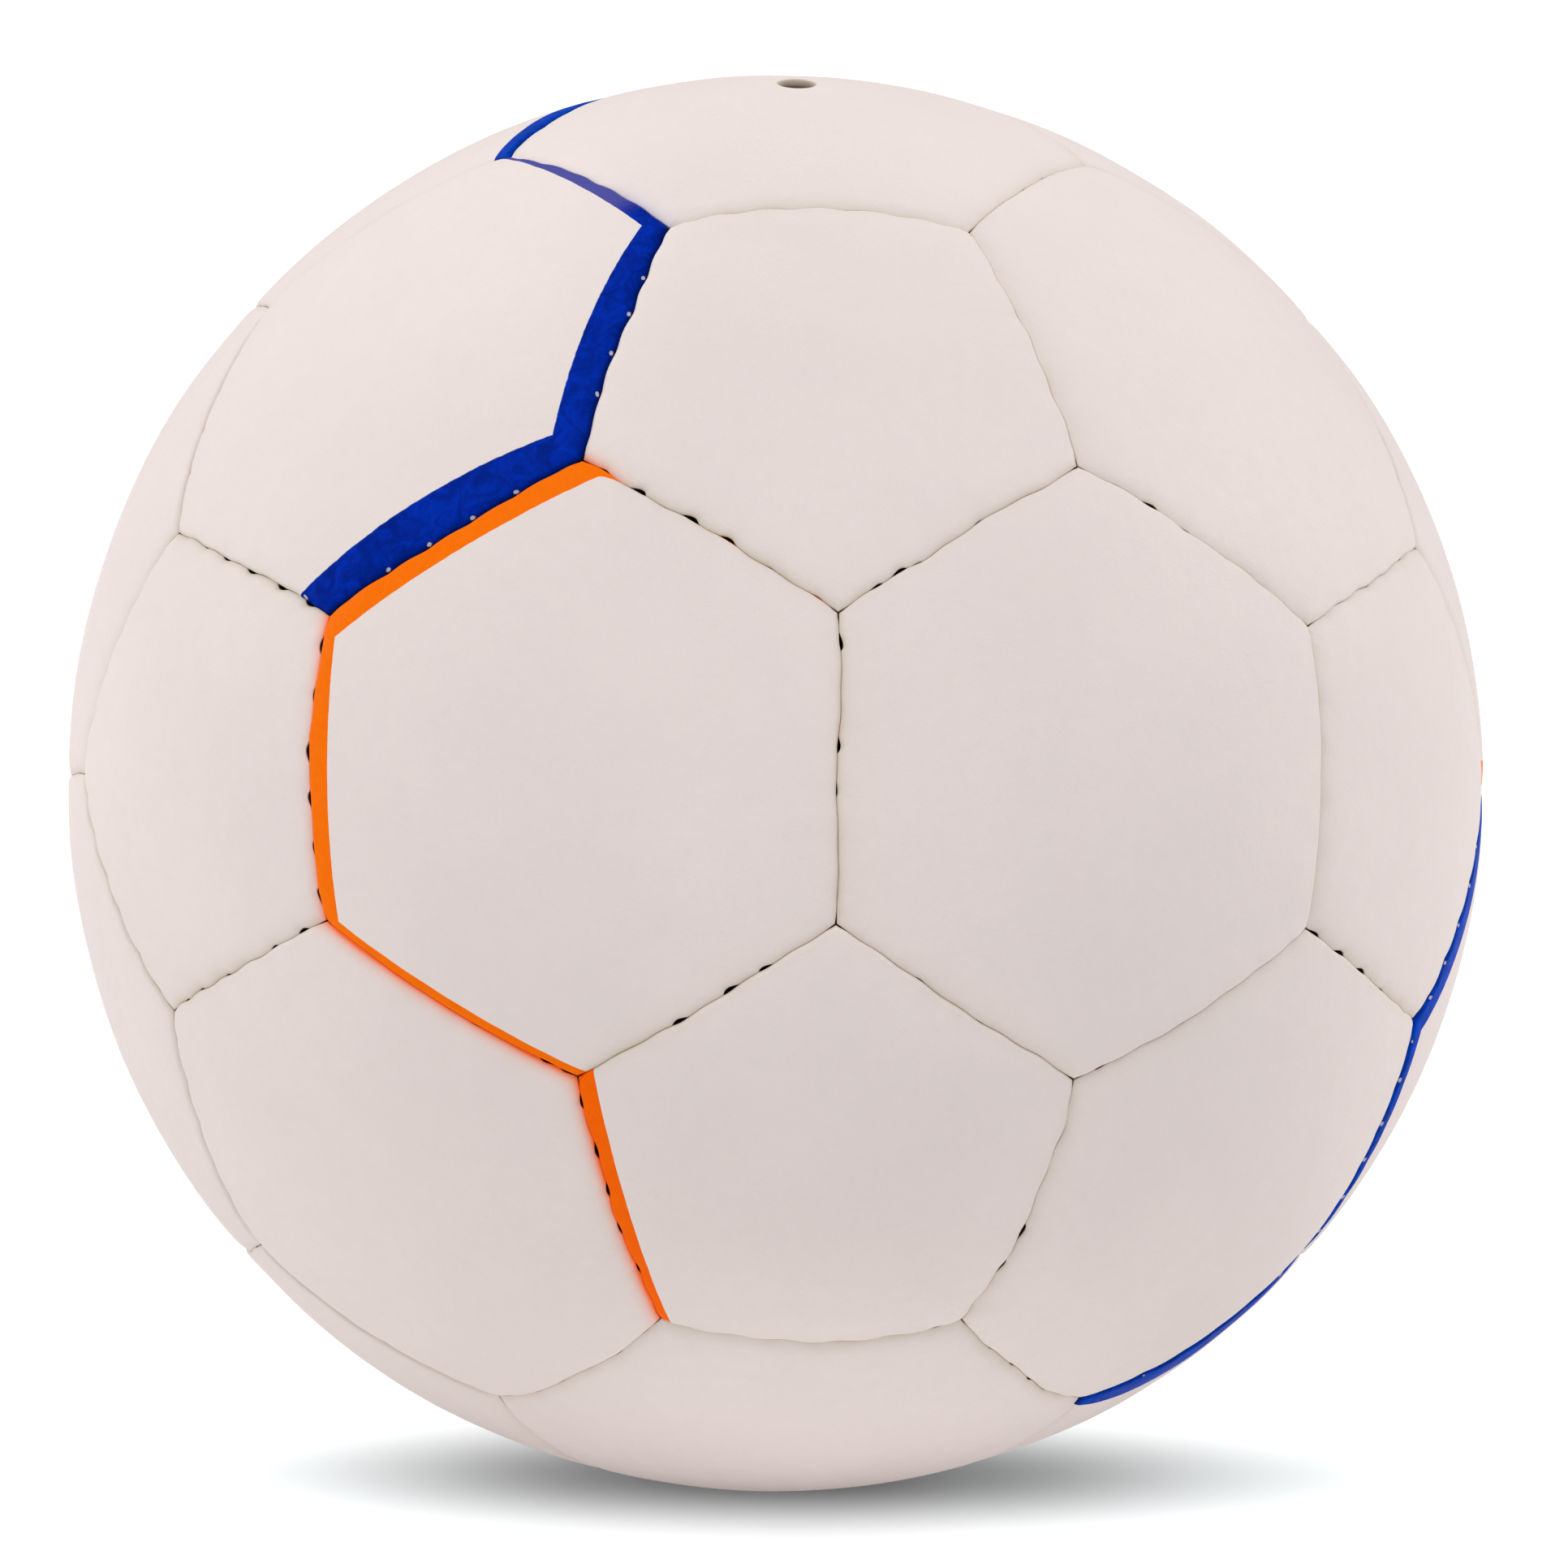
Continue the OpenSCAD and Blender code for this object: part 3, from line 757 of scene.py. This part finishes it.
def make_cover(panel, node):
    loops = panel_loops(panel)
    sides = panel.sides
    faces = []
    start = 0
    for lower, upper in zip(loops[:-1], loops[1:]):
        faces += zip_faces(start, lower, upper, sides)
        start += len(lower.points)
    points = np.concatenate([loop.points for loop in loops])
    values = {name: np.concatenate([loop.values[name] for loop in loops]) for name in VALUES}
    points -= unit_rows(points) * (relief(panel, points) * values["follow"])[:, None]
    if panel.place == VALVE:
        tilt_lip(points)
        faces += closing_faces(start, loops[-1].count, loops[0].count, sides)
    else:
        first_count, last_count = len(loops[0].points), len(loops[-1].points)
        inner_middle, outer_middle = len(points), len(points) + 1
        sunk = relief(panel, panel.middle[None, :] * BALL_R)[0]
        points = np.vstack([points, panel.middle * (BALL_R - COVER_T), panel.middle * (BALL_R - sunk)])
        faces += [(i, inner_middle, (i + 1) % first_count) for i in range(first_count)]
        faces += [(start + i, start + (i + 1) % last_count, outer_middle) for i in range(last_count)]
        values = {name: np.append(column, [0, 0]) for name, column in values.items()}
    mesh = bpy.data.meshes.new(node + "_cover")
    mesh.from_pydata(points.tolist(), [], faces)
    mesh.polygons.foreach_set("use_smooth", [True] * len(mesh.polygons))
    for name in MATERIAL_VALUES:
        layer = mesh.attributes.new(name, "FLOAT", "POINT")
        layer.data.foreach_set("value", values[name].astype(np.float32))
    mesh.validate()
    piece = bpy.data.objects.new(node + "_cover", mesh)
    bpy.context.scene.collection.objects.link(piece)
    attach(piece, "root")
    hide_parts(node)
    return piece


def add(tree, kind, *inputs, **settings):
    """Adds a shader node: inputs in order, each a value, a link from another node, or None"""
    made = tree.nodes.new(kind)
    for name, value in settings.items():
        setattr(made, name, value)
    for socket, value in zip(made.inputs, inputs):
        if isinstance(value, bpy.types.NodeSocket):
            tree.links.new(value, socket)
        elif value is not None:
            socket.default_value = value
    return made


def maths(tree, operation, *inputs):
    return add(tree, "ShaderNodeMath", *inputs, operation=operation).outputs[0]


def scaled(colour, share):
    return tuple(min(1.0, share * c) for c in colour)


def blend_colour(tree, factor, first, second):
    made = tree.nodes.new("ShaderNodeMix")
    made.data_type = "RGBA"
    for index, value in ((0, factor), (6, first), (7, second)):
        if isinstance(value, bpy.types.NodeSocket):
            tree.links.new(value, made.inputs[index])
        else:
            made.inputs[index].default_value = (*value, 1)
    return made.outputs[2]


def blend_value(tree, factor, first, second):
    step = maths(tree, "SUBTRACT", second, first)
    return maths(tree, "MULTIPLY_ADD", factor, step, first)


def ramp(tree, value, low, high, start=0.0, end=1.0):
    """A smooth change from start to end as value goes from low to high"""
    made = add(tree, "ShaderNodeMapRange", value, low, high, start, end, interpolation_type="SMOOTHSTEP")
    return made.outputs[0]


def texture(tree, kind, place, **inputs):
    made = add(tree, kind, place)
    for name, value in inputs.items():
        made.inputs[name].default_value = value
    return made


def noise(tree, place, scale, detail, roughness=0.5, distortion=0.0):
    kind = "ShaderNodeTexNoise"
    inputs = {"Scale": scale, "Detail": detail, "Roughness": roughness, "Distortion": distortion}
    return texture(tree, kind, place, **inputs).outputs["Fac"]


def attribute(tree, name):
    return add(tree, "ShaderNodeAttribute", attribute_name=name).outputs["Fac"]


def new_material(name):
    material = bpy.data.materials.new(name)
    material.use_nodes = True
    tree = material.node_tree
    shader = tree.nodes["Principled BSDF"]
    place = add(tree, "ShaderNodeTexCoord").outputs["Object"]
    return material, tree, shader, place


def add_bump(tree, shader, height, strength, depth):
    bump = add(tree, "ShaderNodeBump", strength, depth)
    tree.links.new(height, bump.inputs["Height"])
    tree.links.new(bump.outputs["Normal"], shader.inputs["Normal"])


def reach(tree, place, direction):
    """How far a point lies out along a direction"""
    made = add(tree, "ShaderNodeVectorMath", place, tuple(direction), operation="DOT_PRODUCT")
    return made.outputs["Value"]


def distance_to(tree, place, edge):
    """Distance in from the plane of a seam"""
    return maths(tree, "MULTIPLY", reach(tree, place, edge.normal), -1.0)


def along_seam(tree, place, edge, towards):
    """Distance from the middle of a seam along it, on the side of a panel at its end"""
    sign = 1 if edge.along @ upright(towards) > 0 else -1
    return maths(tree, "MULTIPLY", reach(tree, place, edge.along), sign)


def border_share(tree, place, panel, beyond, border):
    """Distance in from a printed seam as a share of the width of its border there"""
    middle, towards, lean, taper = border
    edge = panel.edge_to(beyond)
    along = maths(tree, "DIVIDE", along_seam(tree, place, edge, towards), HALF_LENGTH)
    width = maths(tree, "MULTIPLY_ADD", along, lean, middle)
    width = maths(tree, "MULTIPLY_ADD", maths(tree, "MULTIPLY", along, along), -taper, width)
    width = maths(tree, "MAXIMUM", width, MIN_BORDER)
    return maths(tree, "DIVIDE", distance_to(tree, place, edge), width)


def printed_part(tree, place, panel, borders):
    """1 on the printed borders of a panel and 0 beside them, with a slightly rough line between"""
    nearest = None
    for beyond, border in borders.items():
        share = border_share(tree, place, panel, beyond, border)
        if nearest is None:
            nearest = share
        elif border[0] < 0:
            nearest = maths(tree, "SMOOTH_MIN", nearest, share, ROUNDED_CORNER)
        else:
            nearest = maths(tree, "MINIMUM", nearest, share)
    rough_line = maths(tree, "SUBTRACT", noise(tree, place, INK_EDGE, 2), 0.5)
    rough_line = maths(tree, "MULTIPLY", rough_line, 0.05)
    return ramp(tree, maths(tree, "ADD", nearest, rough_line), 0.985, 1.015, 1.0, 0.0)


def fade(tree, distance, reach_m, strength):
    """A share that falls off with distance, never over 1"""
    faded = maths(tree, "EXPONENT", maths(tree, "MULTIPLY", distance, -1 / reach_m))
    return maths(tree, "MINIMUM", maths(tree, "MULTIPLY", faded, strength), 1.0)


def leather(tree, place, panel, mottle):
    """Cream leather, with tan soil and painted shade at its seams, and the orange beyond them as dye and
    painted reflection
    """
    broad = ramp(tree, noise(tree, place, BROAD, 3), 0.3, 0.7)
    colour = blend_colour(tree, broad, scaled(CREAM, 0.975), CREAM)
    colour = blend_colour(tree, ramp(tree, mottle, 0.35, 0.75, 0.0, 0.2), colour, scaled(CREAM, 0.93))
    patchy = ramp(tree, noise(tree, place, PATCHES, 2), 0.35, 0.65, 0.6, 1.0)
    # Tan soil and painted shade along the seams
    soil_and_shade = maths(tree, "MULTIPLY", attribute(tree, "soil_and_shade"), patchy)
    colour = blend_colour(tree, soil_and_shade, colour, SEAM_TAN_AND_SHADE)
    if panel.place in BLUE_BORDERS:
        return colour
    for other in panel.near:
        border = ORANGE_BORDERS.get(other.place, {}).get(panel.place)
        if border is None:
            continue
        edge = panel.edge_to(other.place)
        # The orange on the white beyond its seam: dye and painted reflection
        glow = fade(tree, distance_to(tree, place, edge), ORANGE_DYE_AND_REFLECTION_REACH, ORANGE_DYE_AND_REFLECTION_STRENGTH)
        if border[0] < 0:
            along = along_seam(tree, place, edge, border[1])
            printed = ramp(tree, along, 0.5 * HALF_LENGTH, HALF_LENGTH, 0.0, 0.8)
            glow = maths(tree, "MULTIPLY", glow, printed)
        colour = blend_colour(tree, glow, colour, ORANGE_DYE_AND_REFLECTION)
    return colour


def ink(tree, place, panel, tint):
    """The ink of a border, in swirls; the blue is darker at its seams, painted paler as a sheen along the
    seam to the valve panel where it faces the light, and chipped at its stitches"""
    blue = panel.place in BLUE_BORDERS
    low, high = (0.7, 1.3) if blue else (0.96, 1.05)
    swirls = ramp(tree, noise(tree, place, MOTTLE, 4, 0.65, 1.2), 0.3, 0.7)
    colour = blend_colour(tree, swirls, scaled(tint, low), scaled(tint, high))
    if not blue:
        return colour
    shaded = maths(tree, "MULTIPLY", attribute(tree, "shade"), SHADE_GAIN)
    shaded = maths(tree, "MINIMUM", shaded, DARKEST_SHADE)
    colour = blend_colour(tree, shaded, colour, scaled(tint, 0.25))
    if panel.place == UPPER_LEFT:
        # Paler along the seam to the valve panel: painted sheen
        colour = blend_colour(tree, top_sheen_share(tree, place, panel), colour, BLUE_TOP_SHEEN)
    chipped = ramp(tree, attribute(tree, "chip"), 0.4, 0.65, 0.0, 0.85)
    return blend_colour(tree, chipped, colour, CHIP_GREY)


def top_sheen_share(tree, place, panel):
    """Where the blue border is painted paler as a sheen, along the seam to the valve panel"""
    edge = panel.edge_to(VALVE)
    along = along_seam(tree, place, edge, FRONT_TOP)
    before_corner = ramp(tree, along, 0.45 * HALF_LENGTH, 0.75 * HALF_LENGTH, 0.9, 0.0)
    near_seam = ramp(tree, distance_to(tree, place, edge), 2.4 * MM, 3.2 * MM, 1.0, 0.0)
    return maths(tree, "MULTIPLY", before_corner, near_seam)


def valve_marks(tree, place, panel, colour):
    """The soiled lip of the valve hole, painted darker deeper down as painted shade, and a smear of blue
    beside the blue border
    """
    apart = add(tree, "ShaderNodeSeparateXYZ", place)
    squares = [maths(tree, "MULTIPLY", apart.outputs[axis], apart.outputs[axis]) for axis in (0, 1)]
    out = maths(tree, "SQRT", maths(tree, "ADD", *squares))
    lip = ramp(tree, out, HOLE_R + 0.1 * MM, HOLE_R + 0.6 * MM, 1.0, 0.0)
    colour = blend_colour(tree, lip, colour, HOLE_TAUPE)
    # Deeper in the hole the lip is painted dark: painted shade
    low = ramp(tree, apart.outputs[2], BALL_R - 1.2 * MM, BALL_R - 0.5 * MM, 1.0, 0.0)
    colour = blend_colour(tree, maths(tree, "MULTIPLY", low, lip), colour, HOLE_SHADE)
    edge = panel.edge_to(UPPER_LEFT)
    near = ramp(tree, along_seam(tree, place, edge, FRONT_TOP), 0.2 * HALF_LENGTH, 0.6 * HALF_LENGTH)
    smear = maths(tree, "MULTIPLY", fade(tree, distance_to(tree, place, edge), 0.8 * MM, 0.35), near)
    return blend_colour(tree, smear, colour, BLUE_SMEAR)


def speck_share(tree, place):
    """Small dark specks, in some of the cells of a pattern"""
    cells = texture(tree, "ShaderNodeTexVoronoi", place, Scale=SPECKS)
    parts = add(tree, "ShaderNodeSeparateColor", cells.outputs["Color"])
    chosen = maths(tree, "GREATER_THAN", parts.outputs[0], 0.72)
    specks = maths(tree, "MULTIPLY", ramp(tree, cells.outputs["Distance"], 0.008, 0.016, 1.0, 0.0), chosen)
    return maths(tree, "MULTIPLY", specks, 0.7)


def cover_material(panel):
    """Cream synthetic leather with its printed borders"""
    material, tree, shader, place = new_material("cover_" + "_".join(f"{v:.1f}" for v in panel.place))
    deep = attribute(tree, "deep_mm")
    mottle = noise(tree, place, MOTTLE, 3, 0.6)
    colour = leather(tree, place, panel, mottle)
    rough = ramp(tree, mottle, 0.3, 0.7, 0.5, 0.6)
    gap, shine = GAP_TAN_AND_SHADE, LEATHER_SHINE
    borders = {**BLUE_BORDERS, **ORANGE_BORDERS}.get(panel.place)
    if borders:
        tint = ORANGE_REDDER if panel.place in (FRONT_BOTTOM, BACK_TOP_RIGHT) else ORANGE
        if panel.place in BLUE_BORDERS:
            # The blue borders other than the one on UPPER_LEFT are painted paler: painted sheen
            tint, shine = (BLUE if panel.place == UPPER_LEFT else BLUE_PAINTED_SHEEN), BLUE_SHINE
        inside = printed_part(tree, place, panel, borders)
        colour = blend_colour(tree, inside, colour, ink(tree, place, panel, tint))
        gap = scaled(tint, 0.35)
        rough = maths(tree, "SUBTRACT", rough, maths(tree, "MULTIPLY", inside, 0.08))
    if panel.place == VALVE:
        colour = valve_marks(tree, place, panel, colour)
    # The walls of the gap below the rolled edges are painted darker: painted shade, tan on the leather and
    # darker ink on a border
    colour = blend_colour(tree, ramp(tree, deep, 0.02, 0.3), colour, gap)
    # Open slits are painted near black below the rolled edges: painted shade
    open_slit = ramp(tree, attribute(tree, "slit"), 0.2, 0.5)
    dark = maths(tree, "MULTIPLY", open_slit, ramp(tree, deep, 0.03, 0.2))
    colour = blend_colour(tree, dark, colour, SLIT_SHADE)
    colour = blend_colour(tree, speck_share(tree, place), colour, SPECK_BROWN)
    tree.links.new(colour, shader.inputs["Base Color"])
    tree.links.new(rough, shader.inputs["Roughness"])
    shader.inputs["Specular IOR Level"].default_value = shine
    grain = maths(tree, "MULTIPLY", noise(tree, place, GRAIN, 3, 0.6), 0.35)
    height = maths(tree, "ADD", grain, noise(tree, place, CREASES, 4, 0.65))
    add_bump(tree, shader, height, 0.6, LEATHER_BUMP)
    return material


def inner_material(name, colour, roughness, scale, contrast, depth):
    """Foam, woven backing, thread or rubber: one colour with fine variation and bump"""
    material, tree, shader, place = new_material(name)
    uneven = noise(tree, place, scale, 3, 0.6)
    tint = blend_colour(tree, ramp(tree, uneven, 0.3, 0.7), scaled(colour, 1 - contrast), colour)
    tree.links.new(tint, shader.inputs["Base Color"])
    tree.links.new(ramp(tree, uneven, 0.3, 0.7, roughness, roughness - 0.08), shader.inputs["Roughness"])
    add_bump(tree, shader, uneven, 0.4, depth)
    return material


def finish_inner_nodes():
    """The layers, thread, bladder and valve keep their solids and get their finishes"""
    for name, (nodes, *finish) in INNER_FINISHES.items():
        material = inner_material(name, *finish)
        for node in nodes:
            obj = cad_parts[node]
            if not obj.material_slots:
                obj.data.materials.append(material)
            for slot in obj.material_slots:
                slot.material = material


def make_covers():
    middles = {name: unit(node_points(name).mean(axis=0)) for name in cover_nodes()}
    for panel in build_panels():
        node = max(middles, key=lambda name: middles[name] @ panel.middle)
        piece = make_cover(panel, node)
        piece.data.materials.append(cover_material(panel))


def make_camera():
    data = bpy.data.cameras.new("camera")
    data.lens = CAMERA_LENS_MM
    data.sensor_width = SENSOR_MM
    data.shift_x, data.shift_y = CAMERA_SHIFT
    data.clip_end = CAMERA_SIGHT
    camera = bpy.data.objects.new("camera", data)
    bpy.context.scene.collection.objects.link(camera)
    back = Vector(sky_direction(CAMERA_AZIMUTH, CAMERA_ELEVATION))
    right = Vector((math.cos(CAMERA_AZIMUTH), math.sin(CAMERA_AZIMUTH), 0))
    right = Matrix.Rotation(CAMERA_ROLL, 3, back) @ right
    up = back.cross(right)
    camera.matrix_world = Matrix((right, up, back)).transposed().to_4x4()
    camera.location = back * CAMERA_DISTANCE_SHARE * BALL_R
    bpy.context.scene.camera = camera


def sky_direction(azimuth, elevation):
    """A direction by its azimuth from the front and its elevation"""
    level = math.cos(elevation)
    return level * math.sin(azimuth), -level * math.cos(azimuth), math.sin(elevation)


def make_floor():
    """White paper: in the picture it is dimmed and cooled, and painted light over it leaves a painted shadow
    close round the ball's foot and makes it pure white beyond, as in the photograph"""
    size = FLOOR_HALF_SIZE
    mesh = bpy.data.meshes.new("floor")
    corners = [(x, y, -BALL_R) for x, y in ((-size, -size), (size, -size), (size, size), (-size, size))]
    mesh.from_pydata(corners, [], [(0, 1, 2, 3)])
    floor = bpy.data.objects.new("floor", mesh)
    bpy.context.scene.collection.objects.link(floor)
    material = bpy.data.materials.new("floor")
    material.use_nodes = True
    tree = material.node_tree
    tree.nodes.clear()
    apart = add(tree, "ShaderNodeSeparateXYZ", add(tree, "ShaderNodeTexCoord").outputs["Object"])
    squares = []
    for axis, scale in enumerate((1 / BALL_R, SHADOW_SQUASH / BALL_R)):
        offset = -SHADOW_PLACE[axis] * BALL_R * scale
        share = maths(tree, "MULTIPLY_ADD", apart.outputs[axis], scale, offset)
        squares.append(maths(tree, "MULTIPLY", share, share))
    away = maths(tree, "SQRT", maths(tree, "ADD", *squares))
    # In the picture: painted light over the floor, least in an ellipse round the ball's foot, where it
    # leaves a painted shadow
    shadow = ramp(tree, away, SHADOW_INNER, SHADOW_OUTER, SHADOW_INNER_GLOW, SHADOW_OUTER_GLOW)
    seen = add(tree, "ShaderNodeLightPath").outputs["Is Camera Ray"]
    white = blend_colour(tree, seen, FLOOR_WHITE, FLOOR_SEEN)
    lit = add(tree, "ShaderNodeBsdfDiffuse", white).outputs[0]
    strength = blend_value(tree, seen, FLOOR_GLOW, shadow)
    glow = add(tree, "ShaderNodeEmission", (1, 1, 1, 1), strength).outputs[0]
    both = add(tree, "ShaderNodeAddShader", lit, glow).outputs[0]
    add(tree, "ShaderNodeOutputMaterial", both)
    mesh.materials.append(material)


def make_light():
    """An even dome that shows white, and the lamps"""
    world = bpy.data.worlds.new("studio")
    world.use_nodes = True
    bpy.context.scene.world = world
    tree = world.node_tree
    tree.nodes.clear()
    seen = add(tree, "ShaderNodeLightPath").outputs["Is Camera Ray"]
    strength = blend_value(tree, seen, DOME, 1.0)
    background = add(tree, "ShaderNodeBackground", (1, 1, 1, 1), strength).outputs[0]
    add(tree, "ShaderNodeOutputWorld", background)
    for name, azimuth, elevation, strength, size in LAMPS:
        place = Vector(sky_direction(math.radians(azimuth), math.radians(elevation))) * LAMP_DISTANCE
        area_light(name, place, size, strength * (math.pi * LAMP_DISTANCE) ** 2)


def area_light(name, place, size, power):
    data = bpy.data.lights.new(name, "AREA")
    data.shape = "DISK"
    data.size = size
    data.energy = power
    light = bpy.data.objects.new(name, data)
    light.location = place
    light.rotation_euler = place.to_track_quat("Z", "Y").to_euler()
    bpy.context.scene.collection.objects.link(light)


make_camera()
make_covers()
finish_inner_nodes()
make_floor()
make_light()
bpy.context.scene.view_settings.view_transform = "Standard"
